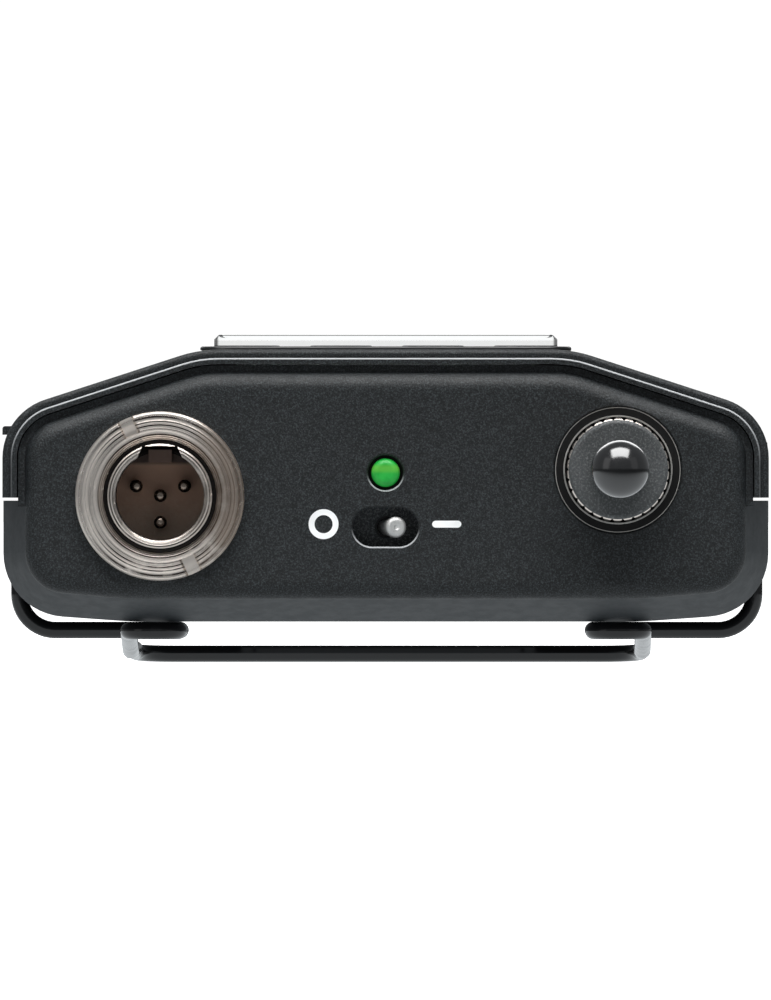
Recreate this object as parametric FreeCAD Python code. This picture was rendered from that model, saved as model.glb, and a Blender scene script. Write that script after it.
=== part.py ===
import FreeCAD, Part
import math
import os

# A belt-worn wireless transmitter. X runs across the pack and Y along it, with the connector
# panel at -Y. Z points out of the display side, and z = 0 is the flat back that faces the wearer.
# All sizes are in millimetres.

V = FreeCAD.Vector
os.makedirs("parts", exist_ok=True)

# ---- overall size ----
body_width = 66.0
body_length = 86.0
body_depth = 23.45
half_width = body_width / 2
panel_y = -body_length / 2
base_y = body_length / 2

# ---- outer cross-section ----
low_corner_r = 5.5
low_bevel_rise = 0.8
low_bevel_run = 11.0
low_blend_r = 40.0
shoulder_r = 5.3
bevel_angle = 18.0
bevel_run = 16.9
plateau_half = half_width - bevel_run
plateau_blend_r = 11.0
parting_z = 10.45
parting_gap = 0.25

# ---- shells and walls ----
cover_wall = 1.25
shell_fit = 0.1
rim_inset = cover_wall + shell_fit
rim_height = 6.0
floor_z = 1.8
panel_wall = 3.2
panel_inset = 1.95
panel_edge_r = 1.5
hole_edge = 0.14
flare_length = 6.2
flare_wall = 0.9
cover_setback = 0.7
shoulder_setback = 1.3
lip_inset = 0.72
lip_setback = 0.55
lip_edge_r = 0.2
cover_edge_r = 0.4
end_edge_r = 1.5
side_wall = 3.6
battery_side_wall = 3.0
bay_half = half_width - side_wall
battery_bay_half = half_width - battery_side_wall
divider_front = -1.5
divider_back = 0.5
door_gap = 0.3
base_wall = 2.2

# ---- audio connector ----
socket_x = -19.42
socket_z = 10.83
barrel_r = 4.5
barrel_bore_r = 3.81
barrel_proud = 1.3
barrel_depth = 8.5
barrel_fit = 0.1
lip_chamfer = 0.2
bore_chamfer = 0.32
nut_r = 7.27
nut_bore_slack = 0.34
nut_bore_r = barrel_r + nut_bore_slack
nut_chamfer = 0.56
nut_height = 1.0
nut_slot_width = 1.5
nut_slot_floor_width = 1.1
nut_slot_depth = 0.6
nut_slot_wall = 0.86
nut_slot_inner_r = nut_bore_r + nut_slot_wall
nut_slot_angle = 24.4
thread_fit = 0.05
socket_flange_r = 6.5
socket_flange_height = 1.2
socket_gasket_height = 0.5
socket_body_r = 5.2
socket_body_length = 8.0
key_width = 3.6
keyway_wall = 0.9
key_reach = socket_body_r - keyway_wall
key_slant = 0.3
key_overlap = 0.9
tongue_width = 2.0
tongue_slack = 0.3
tongue_reach = key_reach - tongue_slack
tongue_length = 5.0
pin_r = 0.55
pin_tail_r = 0.4
pin_length = 4.0
pin_tail_length = 1.6
pin_places = [(-2.08, 0.87), (2.08, 0.87), (0.0, 0.05), (0.0, -2.25)]

# ---- antenna ----
antenna_x = 20.0
antenna_z = 13.1
antenna_well_r = 5.44
antenna_well_depth = 1.2
antenna_gasket_fit = 0.05
jack_flange_r = 4.7
jack_flange_height = 1.4
jack_lip = 0.14
jack_groove_depth = 0.5
jack_seat_r = 4.0
jack_thread_r = 3.1
jack_thread_out = 4.6
jack_tail_r = 2.2
jack_tail_length = 3.0
jack_nut_across = 8.0
jack_nut_height = 1.8
collar_tip_r = 4.56
collar_root_r = 4.26
collar_length = 6.2
collar_edge_run = 0.35
collar_teeth = 30
antenna_base_r = 4.25
antenna_base_length = 12.5
antenna_base_edge_r = 0.35
whip_r = 2.41
whip_tip_from_panel = 84.0
whip_spigot_r = 1.4
whip_spigot_length = 6.0
antenna_lead_r = 0.6
antenna_lead_run = 10.5
antenna_lead_bend_r = 2.5

# ---- status lamp ----
lamp_x = 0.0
lamp_z = 12.85
lamp_r = 1.23
lamp_hole_r = 1.51
lamp_flange_r = 1.9
lamp_flange_height = 0.6
lamp_proud = 0.2
lead_size = 0.4

# ---- power switch ----
switch_x = 0.0
switch_z = 8.16
pocket_width = 5.68
pocket_height = 3.36
lever_tilt = 13.9
lever_base_r = 0.63
lever_tip_r = 0.95
lever_ball_r = 0.68
lever_ball_fit = 0.05
lever_pivot_depth = 4.0
lever_reach = 4.04
lever_dimple_r = 0.4
lever_dimple_out = 0.32
lever_tip_edge_r = 0.4
seal_hole_r = 0.95
seal_height = 0.5
seal_margin = 0.8
switch_body_width = 8.4
switch_body_height = 5.4
panel_board_y = panel_y + 10.0
panel_board_half = 8.0
panel_board_thickness = 1.0

# ---- display and keys ----
bezel_half_width = plateau_half - 0.1
bezel_length = 24.6
bezel_front = panel_y + 4.0
bezel_back = bezel_front + bezel_length
bezel_height = 0.3
bezel_corner_r = 2.4
bezel_edge_r = 0.2
bezel_margin = 1.2
lens_half_width = bezel_half_width - bezel_margin
lens_front = bezel_front + bezel_margin
lens_back = bezel_back - bezel_margin
lens_height = 1.0
lens_corner_r = 1.2
lens_edge = 0.4
window_margin = 2.2
window_corner_r = 0.5
lcd_height = 2.4
lcd_margin = 1.0
lcd_drop = 0.3
backlight_height = 0.9
backlight_margin = 0.5
key_pitch = 8.0
key_size_x = 5.6
key_size_y = 3.8
key_corner_r = 1.0
key_proud = 0.5
key_edge_r = 0.3
key_slack = 0.2
key_flange = 0.7
key_flange_height = 0.9
key_flange_drop = 0.3
key_travel = 0.4
dome_gap = 0.15
dome_r = 1.6
membrane_height = 0.8
membrane_half_width = 16.0
membrane_half_length = 3.0
infrared_y = bezel_back + 2.05
key_y = infrared_y + 4.35
infrared_half = 2.6
infrared_r = 0.85

# ---- circuit boards ----
board_front = panel_y + 6.0
board_back = divider_front - 1.5
board_height = 1.2
main_board_drop = 5.2
rf_board_z = 3.4
board_screw_inset = 5.3
socket_back = panel_y + panel_wall + socket_gasket_height + socket_flange_height + socket_body_length
board_head_r = 1.5
board_head_height = 0.8
board_head_room = 0.4
board_screw_front = socket_back + board_head_r + board_head_room
board_screw_back = board_back - 2.0
board_screw_r = 0.8
board_screw_length = 3.4
screw_fit = 0.05
post_r = 1.8
shield_height = 4.0
shield_wall = 0.3
shield_inner = 8.0
shield_outer = 23.0
shield_front = board_screw_front + board_head_r + board_head_room
shield_length = 14.0
link_half_width = 6.0
link_back = board_back - 4.0
link_length = 2.5
capacitor_r = 2.0
capacitor_height = 5.0
cross_slot_half = 0.15
cross_slot_depth = 0.4

# ---- case screws ----
case_screw_front = panel_y + 12.0
case_screw_back = divider_front - 3.5
case_screw_r = 1.0
case_screw_length = 12.5
case_head_r = 1.7
case_head_height = 1.1
case_head_sink = 0.8
case_boss_r = 1.9
case_post_r = 2.3
case_post_top = 5.8
post_bite = 0.1
board_clearance = 0.1
case_screw_x = bay_half + post_bite - case_post_r
board_half = case_screw_x - case_post_r - board_clearance
board_screw_x = board_half - board_screw_inset

# ---- batteries and door ----
cell_r = 7.25
cell_length = 50.5
nub_r = 2.75
nub_length = 1.0
cell_fit = 0.1
cell_z = floor_z + cell_r + 0.45
cradle_front = divider_back + 3.5
cell_front_y = cradle_front + cell_r + 1.15
cell_rear_y = cell_front_y + 2 * cell_r + 1.3
cradle_back = cell_rear_y + cell_r + 2.15
cradle_half = cell_length / 2 + 3.65
cradle_wall = 0.6
cradle_ridge_z = 6.0
cradle_wall_top = 15.0
contact_height = 0.3
contact_half = 5.0
contact_half_height = 4.5
contact_button_r = 2.0
hinge_inset = 1.7
hinge_y = base_y - hinge_inset
hinge_z = parting_z + parting_gap + hinge_inset
hinge_room = 2.7
hinge_pin_r = 0.8
hinge_fit = 0.06
knuckle_r = 1.62
lug_end = battery_bay_half - 0.6
lug_start = lug_end - 3.3
knuckle_half = lug_start - 0.3
lug_r = 1.6
lug_clearance = 0.7
door_top_r = 3.0
pad_height = 4.0
pad_half = 14.0
latch_y = divider_back + 9.5
latch_half = 3.7
latch_low_z = parting_z + parting_gap + 0.7
latch_top_z = latch_low_z + 4.2
pull_low_z = 16.2
pull_height = 0.75
pull_proud = 0.6
pull_length = 5.0
pull_edge_r = 0.25
latch_proud = 0.2
latch_edge_r = 0.15
latch_slack = 0.2
latch_flange_height = 1.05
latch_flange_half = 4.6
latch_slot_half = 5.5
spring_height = 0.15
rib_height = 0.5

# ---- belt clip ----
wire_r = 0.73
clip_clearance = 0.07
clip_wire_z = -wire_r - clip_clearance
clip_side_x = half_width - 1.1
clip_pivot_z = 6.9
clip_pin_end = bay_half - 0.5
clip_side_bend_r = 3.1
clip_pin_bend_r = 1.3
clip_inner_x = 17.9
clip_outer_x = 22.2
clip_turn_y = panel_y + 7.0
clip_plane_y = clip_turn_y + 22.0
clip_arm_bend_r = 1.6
clip_dip = 1.75
clip_flare = 0.45
clip_end_y = clip_plane_y + 36.0
clip_end_bend_r = 3.4
clip_leg_bend_r = 6.0
clip_channel_fit = 0.25
clip_pin_fit = 0.03

label_half_width = 13.0
label_front = -8.0
label_back = 22.0
label_sink = 0.25
label_height = 0.2
label_fit = 0.1

parting_top = parting_z + parting_gap
rim_top = parting_z + rim_height
panel_inside = panel_y + panel_wall
cover_front = panel_y + cover_setback
plateau_inside = body_depth - cover_wall
main_board_z = plateau_inside - main_board_drop


# ---- general shapes ----
def rounded_edges(points, radii, closed):
    """Straight edges through the points, with a tangent arc of the given radius at each corner."""
    count = len(points)
    corners = range(count) if closed else range(1, count - 1)
    entry = list(points)
    leave = list(points)
    arcs = {}
    for i in corners:
        if radii[i] == 0:
            continue
        to_last = (points[i - 1] - points[i]).normalize()
        to_next = (points[(i + 1) % count] - points[i]).normalize()
        half = to_last.getAngle(to_next) / 2
        reach = radii[i] / math.tan(half)
        entry[i] = points[i] + to_last * reach
        leave[i] = points[i] + to_next * reach
        inward = (to_last + to_next).normalize()
        middle = points[i] + inward * (radii[i] / math.sin(half) - radii[i])
        arcs[i] = Part.Arc(entry[i], middle, leave[i]).toShape()
    edges = []
    for i in range(count):
        if i in arcs:
            edges.append(arcs[i])
        following = (i + 1) % count
        if not closed and following == 0:
            continue
        if (entry[following] - leave[i]).Length > 1e-6:
            edges.append(Part.makeLine(leave[i], entry[following]))
    return edges


def outline_wire(corners, place):
    points = [place(u, v) for u, v, r in corners]
    return Part.Wire(rounded_edges(points, [r for u, v, r in corners], True))


def across(corners, y_from, y_to):
    """A prism with an outline of (x, z, radius) corners."""
    face = Part.Face(outline_wire(corners, lambda u, v: V(u, y_from, v)))
    return face.extrude(V(0, y_to - y_from, 0))


def sideways(corners, x_from, x_to):
    """A prism with an outline of (y, z, radius) corners."""
    face = Part.Face(outline_wire(corners, lambda u, v: V(x_from, u, v)))
    return face.extrude(V(x_to - x_from, 0, 0))


def upright(corners, z_from, z_to):
    """A prism with an outline of (x, y, radius) corners."""
    face = Part.Face(outline_wire(corners, lambda u, v: V(u, v, z_from)))
    return face.extrude(V(0, 0, z_to - z_from))


def block(x, y, z):
    return Part.makeBox(x[1] - x[0], y[1] - y[0], z[1] - z[0], V(x[0], y[0], z[0]))


def rounded_rectangle(half_u, v_from, v_to, r):
    return [(-half_u, v_from, r), (half_u, v_from, r), (half_u, v_to, r), (-half_u, v_to, r)]


def rod(radius, start, end):
    along = end - start
    return Part.makeCylinder(radius, along.Length, start, along)


def rod_y(radius, x, z, y_from, y_to):
    return rod(radius, V(x, y_from, z), V(x, y_to, z))


def rod_x(radius, y, z, x_from, x_to):
    return rod(radius, V(x_from, y, z), V(x_to, y, z))


def rod_z(radius, x, y, z_from, z_to):
    return rod(radius, V(x, y, z_from), V(x, y, z_to))


def turned(profile, x, z):
    """A solid of revolution about a line along Y, from (radius, y) points."""
    points = [V(x + radius, y, z) for radius, y in profile]
    face = Part.Face(Part.makePolygon(points + points[:1]))
    return face.revolve(V(x, 0, z), V(0, 1, 0), 360)


def joined(solids):
    result = solids[0]
    for solid in solids[1:]:
        result = result.fuse(solid)
    return result.removeSplitter()


def without(solid, tools):
    for tool in tools:
        solid = solid.cut(tool)
    return solid


def mirrored(shape):
    return shape.mirror(V(0, 0, 0), V(1, 0, 0))


def edges_at_y(shape, y):
    return [e for e in shape.Edges if all(abs(v.Point.y - y) < 1e-6 for v in e.Vertexes)]


def edges_at_z(shape, z):
    return [e for e in shape.Edges if all(abs(v.Point.z - z) < 1e-6 for v in e.Vertexes)]


def bent_wire(points, radii):
    """A round wire along straight runs joined by tangent arcs."""
    path = Part.Wire(rounded_edges(points, radii, False))
    along = (points[1] - points[0]).normalize()
    section = Part.Wire(Part.makeCircle(wire_r, points[0], along))
    return path.makePipeShell([section], True, True)


def save(name, solids):
    """Write one node; a list of solids shares the node."""
    shape = Part.makeCompound(solids) if isinstance(solids, list) else solids
    for solid in shape.Solids:
        if not solid.isValid() or solid.Volume <= 0:
            print("bad solid in", name)
    if not isinstance(solids, list) and len(shape.Solids) != 1:
        print(name, "has", len(shape.Solids), "solids")
    shape.exportStep("parts/" + name + ".step")


# ---- case outline ----
def case_outline(inset):
    """The pack's cross-section, drawn in from the outside by a wall's thickness."""
    slope = math.tan(math.radians(bevel_angle))
    lean = 1 / math.cos(math.radians(bevel_angle))
    side = half_width - inset
    top = body_depth - inset
    shoulder = body_depth - slope * (side - plateau_half) - inset * lean
    plateau = plateau_half + inset * (1 - lean) / slope
    low_blend = half_width - low_bevel_run
    return [
        (-side, inset + low_bevel_rise, low_corner_r - inset),
        (-low_blend, inset, low_blend_r),
        (low_blend, inset, low_blend_r),
        (side, inset + low_bevel_rise, low_corner_r - inset),
        (side, shoulder, shoulder_r - inset),
        (plateau, top, plateau_blend_r - inset),
        (-plateau, top, plateau_blend_r - inset),
        (-side, shoulder, shoulder_r - inset),
    ]


def bevel_height(x, inset):
    """Height of the sloping shoulder at x, drawn in by a wall's thickness."""
    slope = math.tan(math.radians(bevel_angle))
    lean = 1 / math.cos(math.radians(bevel_angle))
    return body_depth - slope * (x - plateau_half) - inset * lean


everything = body_length + body_width
below_parting = block((-everything, everything), (-everything, everything), (-everything, parting_z))
above_parting = block((-everything, everything), (-everything, everything), (parting_top, everything))
case_screw_spots = [(s * case_screw_x, y) for s in (-1, 1) for y in (case_screw_front, case_screw_back)]
board_screw_spots = [(s * board_screw_x, y) for s in (-1, 1) for y in (board_screw_front, board_screw_back)]


# ---- back case: cast chassis with the connector panel ----
def clip_channels():
    half = wire_r + clip_channel_fit
    inner = clip_side_x - clip_pin_bend_r - clip_channel_fit
    channel = block((inner, half_width + 1), (clip_plane_y - half, clip_plane_y + half),
                    (-1, clip_pivot_z + half))
    hole = rod_x(wire_r + clip_pin_fit, clip_plane_y, clip_pivot_z, bay_half - 1, inner + 1)
    return [channel, hole, mirrored(channel), mirrored(hole)]


def panel_openings():
    socket = rod_y(barrel_r + barrel_fit, socket_x, socket_z, panel_y - 1, panel_inside + 1)
    well = rod_y(antenna_well_r, antenna_x, antenna_z, panel_y - 1, panel_y + antenna_well_depth)
    jack = rod_y(jack_thread_r + barrel_fit, antenna_x, antenna_z, panel_y - 1, panel_inside + 1)
    lamp = rod_y(lamp_hole_r, lamp_x, lamp_z, panel_y - 1, panel_inside + 1)
    pocket = across(pocket_outline(0), panel_y - 1, panel_inside + 1)
    mouths = [
        rod_y(antenna_well_r + hole_edge, antenna_x, antenna_z, panel_y - 1, panel_y + hole_edge),
        rod_y(lamp_hole_r + hole_edge, lamp_x, lamp_z, panel_y - 1, panel_y + hole_edge),
        across(pocket_outline(hole_edge), panel_y - 1, panel_y + hole_edge)]
    mouths = [m.makeChamfer(hole_edge * 0.98, edges_at_y(m, panel_y + hole_edge)) for m in mouths]
    return [socket, well, jack, lamp, pocket] + mouths


def pocket_outline(grow):
    half_x = pocket_width / 2 + grow
    half_z = pocket_height / 2 + grow
    round_r = half_z - 0.001
    return [(switch_x + u, switch_z + v, round_r)
            for u, v in [(-half_x, -half_z), (half_x, -half_z), (half_x, half_z), (-half_x, half_z)]]


def hinge_lug(side):
    round_end = rod_x(lug_r, hinge_y, hinge_z, lug_start, lug_end)
    web = block((lug_start, lug_end), (hinge_y - lug_r, hinge_y + lug_r), (parting_z - 1, hinge_z))
    foot = block((lug_start, lug_end), (hinge_y - lug_r, hinge_y), (parting_z - 4, parting_z))
    lug = joined([round_end, web, foot])
    return lug if side > 0 else mirrored(lug)


def back_case():
    nose = across(case_outline(panel_inset), panel_y, panel_inside)
    nose = nose.makeFillet(panel_edge_r, edges_at_y(nose, panel_y))
    flare_start = panel_y + panel_edge_r
    flare_end = flare_start + flare_length
    flare = Part.makeLoft(
        [outline_wire(case_outline(panel_inset), lambda u, v: V(u, flare_start, v)),
         outline_wire(case_outline(0), lambda u, v: V(u, flare_end, v))], True, True)
    tray = across(case_outline(0), flare_end, base_y)
    tray = tray.makeFillet(end_edge_r, edges_at_y(tray, base_y))
    lower = flare.fuse(tray).common(below_parting)
    rim = across(case_outline(rim_inset), panel_y + shoulder_setback, hinge_y - hinge_room)
    rim = rim.cut(block((-everything, everything), (-everything, everything), (-everything, floor_z)))
    rim = rim.cut(block((-everything, everything), (-everything, flare_end), (-everything, parting_z - 0.5)))
    rim = rim.cut(block((-everything, everything), (panel_inside, everything), (rim_top, everything)))
    case = joined([nose, lower, rim])
    flare_bay = block((-bay_half, bay_half), (panel_inside, flare_end), (floor_z, everything))
    bays = [
        flare_bay.common(across(case_outline(panel_inset + flare_wall), panel_inside, flare_end)),
        block((-bay_half, bay_half), (flare_end, divider_front), (floor_z, everything)),
        block((-battery_bay_half, battery_bay_half), (divider_back, base_y - base_wall),
              (floor_z, everything)),
    ]
    case = without(case, bays + panel_openings() + clip_channels())
    posts = [rod_z(case_post_r, x, y, floor_z - 0.5, case_post_top) for x, y in case_screw_spots]
    posts += [rod_z(post_r, x, y, floor_z - 0.5, rf_board_z) for x, y in board_screw_spots]
    case = joined([case] + posts + [hinge_lug(-1), hinge_lug(1)])
    drills = []
    for x, y in case_screw_spots:
        drills.append(rod_z(case_screw_r + screw_fit, x, y, -1, case_post_top + 1))
        drills.append(rod_z(case_head_r + screw_fit, x, y, -1, case_head_sink + case_head_height))
    for x, y in board_screw_spots:
        drills.append(rod_z(board_screw_r + screw_fit, x, y, floor_z - 0.8, rf_board_z + 1))
    drills.append(rod_x(hinge_pin_r, hinge_y, hinge_z, -lug_end - 1, lug_end + 1))
    latch_slot = block((battery_bay_half - 0.5, half_width - cover_wall),
                       (latch_y - latch_slot_half, latch_y + latch_slot_half),
                       (parting_top + shell_fit, rim_top + 1))
    drills += [latch_slot, mirrored(latch_slot)]
    drills.append(block((-label_half_width, label_half_width), (label_front, label_back), (-1, label_sink)))
    save("back_case", without(case, drills))


# ---- front cover with the display window and key holes ----
def key_places():
    return [(i - 1.5) * key_pitch for i in range(4)]


def key_outline(x, grow, r):
    half_x = key_size_x / 2 + grow
    half_y = key_size_y / 2 + grow
    return [(x + u * half_x, key_y + v * half_y, r) for u, v in [(-1, -1), (1, -1), (1, 1), (-1, 1)]]


def front_cover():
    cover_back = -door_gap / 2
    outer = across(case_outline(0), cover_front + lip_setback, cover_back)
    outer = outer.makeFillet(cover_edge_r, edges_at_y(outer, cover_front + lip_setback))
    bulkhead = cover_back - cover_wall
    lip = across(case_outline(lip_inset), cover_front, bulkhead)
    lip = lip.makeFillet(lip_edge_r, edges_at_y(lip, cover_front))
    void = across(case_outline(cover_wall), cover_front - 1, bulkhead)
    low_void = across(case_outline(cover_wall), bulkhead - 1, cover_back + 1)
    low_void = low_void.common(block((-everything, everything), (-everything, everything),
                                     (-everything, rim_top + shell_fit)))
    cover = without(outer.fuse(lip), [void, low_void]).common(above_parting)
    boss_top = bevel_height(case_screw_x + case_boss_r, 0) - 0.3
    bosses = [rod_z(case_boss_r, x, y, case_post_top + shell_fit, boss_top) for x, y in case_screw_spots]
    post_top = bevel_height(board_screw_x + post_r, cover_wall / 2)
    posts = [rod_z(post_r, x, y, main_board_z + board_height, post_top) for x, y in board_screw_spots]
    cover = joined([cover] + bosses + posts)
    screw_end = case_head_sink + case_head_height + case_screw_length
    holes = [rod_z(case_screw_r + screw_fit, x, y, case_post_top, screw_end + 0.5)
             for x, y in case_screw_spots]
    holes += [rod_z(board_screw_r + screw_fit, x, y, main_board_z, main_board_z + board_screw_length + 0.3)
              for x, y in board_screw_spots]
    holes.append(upright(window_outline(), main_board_z + board_height, body_depth + 1))
    holes += [upright(key_outline(x, key_slack, key_corner_r + key_slack), plateau_inside - 1, body_depth + 1)
              for x in key_places()]
    holes.append(infrared_shape(shell_fit, plateau_inside - 1, body_depth + 1))
    save("front_cover", without(cover, holes))


def window_outline():
    return rounded_rectangle(lens_half_width - window_margin, lens_front + window_margin,
                             lens_back - window_margin, window_corner_r)


def infrared_shape(grow, z_from, z_to):
    r = infrared_r + grow
    corners = [(u * (infrared_half + grow), infrared_y + v * r, r - 0.001)
               for u, v in [(-1, -1), (1, -1), (1, 1), (-1, 1)]]
    return upright(corners, z_from, z_to)


def display():
    bezel = upright(rounded_rectangle(bezel_half_width, bezel_front, bezel_back, bezel_corner_r),
                    body_depth, body_depth + bezel_height)
    bezel = bezel.makeFillet(bezel_edge_r, edges_at_z(bezel, body_depth + bezel_height))
    save("display_bezel", bezel.cut(upright(window_outline(), body_depth - 1, body_depth + 1)))
    lens_z = body_depth + bezel_height
    lens = upright(rounded_rectangle(lens_half_width, lens_front, lens_back, lens_corner_r),
                   lens_z, lens_z + lens_height)
    save("display_lens", lens.makeChamfer(lens_edge, edges_at_z(lens, lens_z + lens_height)))
    lcd_top = plateau_inside - lcd_drop
    lcd_half = lens_half_width - window_margin + lcd_margin
    lcd_y = (lens_front + window_margin - lcd_margin, lens_back - window_margin + lcd_margin)
    save("lcd_module", block((-lcd_half, lcd_half), lcd_y, (lcd_top - lcd_height, lcd_top)))
    light_top = lcd_top - lcd_height
    light_half = lcd_half - backlight_margin
    light_y = (lcd_y[0] + backlight_margin, lcd_y[1] - backlight_margin)
    save("lcd_backlight", block((-light_half, light_half), light_y,
                                (light_top - backlight_height, light_top)))
    save("infrared_window", infrared_shape(0, plateau_inside, body_depth + 0.05))


def keys():
    key_top = body_depth + key_proud
    flange_top = plateau_inside - key_flange_drop
    flange_low = flange_top - key_flange_height
    for name, x in zip(["back_key", "down_key", "up_key", "select_key"], key_places()):
        cap = upright(key_outline(x, 0, key_corner_r), flange_low, key_top)
        cap = cap.makeFillet(key_edge_r, edges_at_z(cap, key_top))
        flange = upright(key_outline(x, key_flange, key_corner_r), flange_low, flange_top)
        save(name, joined([cap, flange]))
    board_top = main_board_z + board_height
    sheet = block((-membrane_half_width, membrane_half_width),
                  (key_y - membrane_half_length, key_y + membrane_half_length),
                  (board_top, board_top + membrane_height))
    dome_height = flange_low - key_travel - dome_gap - board_top
    domes = [Part.makeCone(dome_r + 0.4, dome_r - 0.4, dome_height, V(x, key_y, board_top), V(0, 0, 1))
             for x in key_places()]
    save("key_membrane", joined([sheet] + domes))


# ---- circuit boards ----
def boards():
    for name, z in [("main_board", main_board_z), ("rf_board", rf_board_z)]:
        sheet = block((-board_half, board_half), (board_front, board_back), (z, z + board_height))
        hole_r = board_screw_r + screw_fit
        holes = [rod_z(hole_r, x, y, z - 1, z + board_height + 1) for x, y in board_screw_spots]
        save(name, without(sheet, holes))
    rf_top = rf_board_z + board_height
    save("panel_board", block((-panel_board_half, panel_board_half),
                              (panel_board_y, panel_board_y + panel_board_thickness), (rf_top, main_board_z)))
    shield_back = shield_front + shield_length
    can = block((shield_inner, shield_outer), (shield_front, shield_back), (rf_top, rf_top + shield_height))
    hollow = block((shield_inner + shield_wall, shield_outer - shield_wall),
                   (shield_front + shield_wall, shield_back - shield_wall),
                   (rf_top - 1, rf_top + shield_height - shield_wall))
    save("rf_shield", can.cut(hollow))
    save("board_chips", chips(rf_top))
    save("board_link", block((-link_half_width, link_half_width), (link_back - link_length, link_back),
                             (rf_top, main_board_z)))
    screws = []
    for x, y in board_screw_spots:
        screws.append(small_screw(x, y, main_board_z, -1))
        screws.append(small_screw(x, y, rf_top, 1))
    save("board_screws", screws)


def chips(rf_top):
    """Square packages on the lower board, two under the upper one, and two round capacitors."""
    packages = []
    for x, from_front, half, height in [(-18, 17, 4.0, 1.2), (-7, 12, 3.5, 1.4), (-19, 26, 2.5, 0.9)]:
        y = board_front + from_front
        packages.append(block((x - half, x + half), (y - half, y + half), (rf_top, rf_top + height)))
    for x, from_front, half, height in [(-6, 15, 4.0, 1.2), (7, 16, 3.0, 1.0)]:
        y = board_front + from_front
        low = main_board_z - height
        packages.append(block((x - half, x + half), (y - half, y + half), (low, main_board_z)))
    for x in (14, -15):
        low = main_board_z - capacitor_height
        packages.append(rod_z(capacitor_r, x, board_front + 25, low, main_board_z))
    return packages


def small_screw(x, y, seat, up):
    """A board screw whose head sits on the seat, above it if up is 1 and below it if up is -1."""
    head = rod_z(board_head_r, x, y, seat, seat + up * board_head_height)
    shank = rod_z(board_screw_r, x, y, seat, seat - up * board_screw_length)
    slot_from = seat + up * (board_head_height - cross_slot_depth)
    slot_to = seat + up * (board_head_height + cross_slot_depth)
    return without(joined([head, shank]), cross_slots(x, y, board_head_r, sorted([slot_from, slot_to])))


def cross_slots(x, y, head_r, slot_z):
    """The two crossed slots in a screw's head, two thirds of the head across."""
    long_half = head_r * 2 / 3
    return [block((x - long_half, x + long_half), (y - cross_slot_half, y + cross_slot_half), slot_z),
            block((x - cross_slot_half, x + cross_slot_half), (y - long_half, y + long_half), slot_z)]


def case_screws():
    screws = []
    head_top = case_head_sink + case_head_height
    for x, y in case_screw_spots:
        head = rod_z(case_head_r, x, y, case_head_sink, head_top)
        shank = rod_z(case_screw_r, x, y, head_top, head_top + case_screw_length)
        slot_z = (case_head_sink - cross_slot_depth, case_head_sink + cross_slot_depth)
        screws.append(without(joined([head, shank]), cross_slots(x, y, case_head_r, slot_z)))
    save("case_screws", screws)


# ---- panel fittings ----
def power_switch():
    pivot_y = panel_y + lever_pivot_depth
    lever_tip = pivot_y - lever_reach
    bat = Part.makeCone(lever_base_r, lever_tip_r, lever_reach, V(switch_x, pivot_y, switch_z), V(0, -1, 0))
    tip_edges = edges_at_y(bat, lever_tip)
    bat = bat.makeFillet(lever_tip_edge_r, tip_edges)
    ball = Part.makeSphere(lever_ball_r, V(switch_x, pivot_y, switch_z))
    dimple = Part.makeSphere(lever_dimple_r, V(switch_x, lever_tip - lever_dimple_out, switch_z))
    lever = joined([bat, ball]).cut(dimple)
    lever.rotate(V(switch_x, pivot_y, switch_z), V(0, 0, 1), lever_tilt)
    save("power_switch_lever", lever)
    seal_half_x = pocket_width / 2 + seal_margin
    seal_half_z = pocket_height / 2 + seal_margin
    seal = block((switch_x - seal_half_x, switch_x + seal_half_x), (panel_inside, panel_inside + seal_height),
                 (switch_z - seal_half_z, switch_z + seal_half_z))
    seal_hole = rod_y(seal_hole_r, switch_x, switch_z, panel_inside - 1, panel_inside + 1)
    save("power_switch_seal", seal.cut(seal_hole))
    body = block((-switch_body_width / 2, switch_body_width / 2), (panel_inside + seal_height, panel_board_y),
                 (switch_z - switch_body_height / 2, switch_z + switch_body_height / 2))
    socket = Part.makeSphere(lever_ball_r + lever_ball_fit, V(switch_x, pivot_y, switch_z))
    mouth = rod_y(seal_hole_r, switch_x, switch_z, panel_inside, pivot_y)
    save("power_switch_body", without(body, [socket, mouth]))


def status_lamp():
    flange = panel_inside
    stem = rod_y(lamp_r, lamp_x, lamp_z, panel_y - lamp_proud, flange + lamp_flange_height)
    stem = stem.makeFillet(lamp_r * 0.5, edges_at_y(stem, panel_y - lamp_proud))
    ring = rod_y(lamp_flange_r, lamp_x, lamp_z, flange, flange + lamp_flange_height)
    save("status_lamp", joined([stem, ring]))
    leads = [block((x - lead_size / 2, x + lead_size / 2), (flange + lamp_flange_height, panel_board_y),
                   (lamp_z - lead_size / 2, lamp_z + lead_size / 2)) for x in (-0.8, 0.8)]
    save("lamp_leads", leads)


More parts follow.
